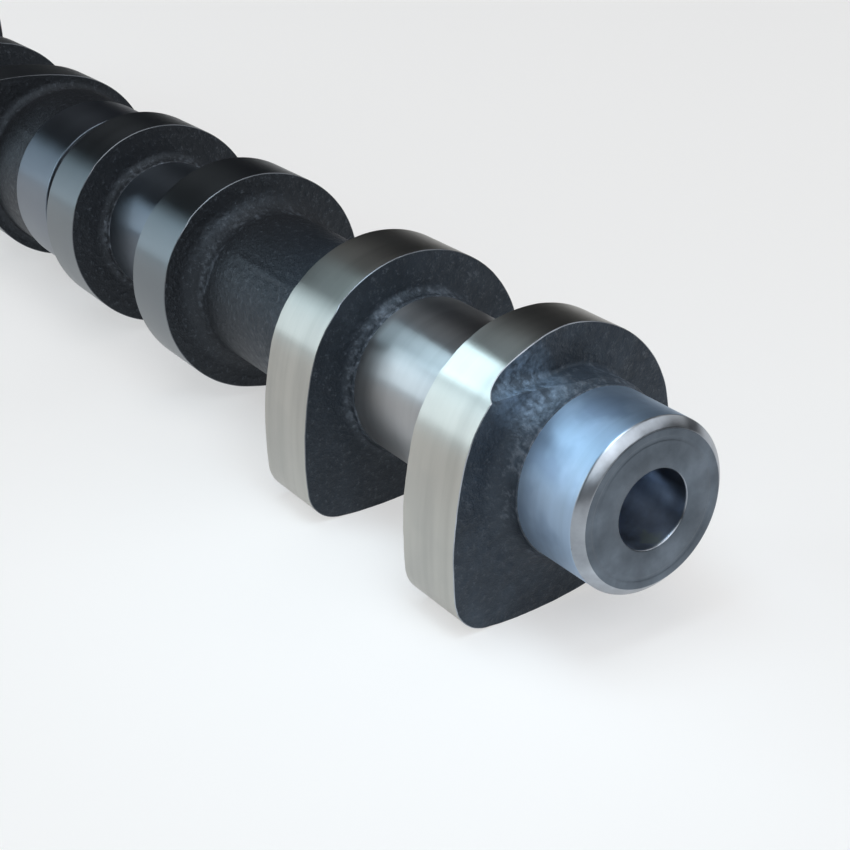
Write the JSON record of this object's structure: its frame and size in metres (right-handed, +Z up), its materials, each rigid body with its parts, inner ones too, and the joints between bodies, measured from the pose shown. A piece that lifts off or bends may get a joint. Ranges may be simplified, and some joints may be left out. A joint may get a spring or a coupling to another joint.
{
  "type": "camshaft",
  "caption": "One-piece cast-iron engine camshaft with paired lobes, ground journals between them, a wide middle journal, and a plain stub with a centre hole at its rear end.",
  "frame": {"origin": "centre of the rear end face, on the shaft's axis", "axes": "+X along the shaft and out of its rear end, +Z up as the shaft lies on the noses of its first four lobes"},
  "size_m": [0.3806, 0.0424, 0.0424],
  "materials": {
    "camshaft": "ground on the lobes and journals, as cast elsewhere"
  },
  "bodies": {
    "root": {"camshaft": "camshaft"}
  },
  "joints": []
}
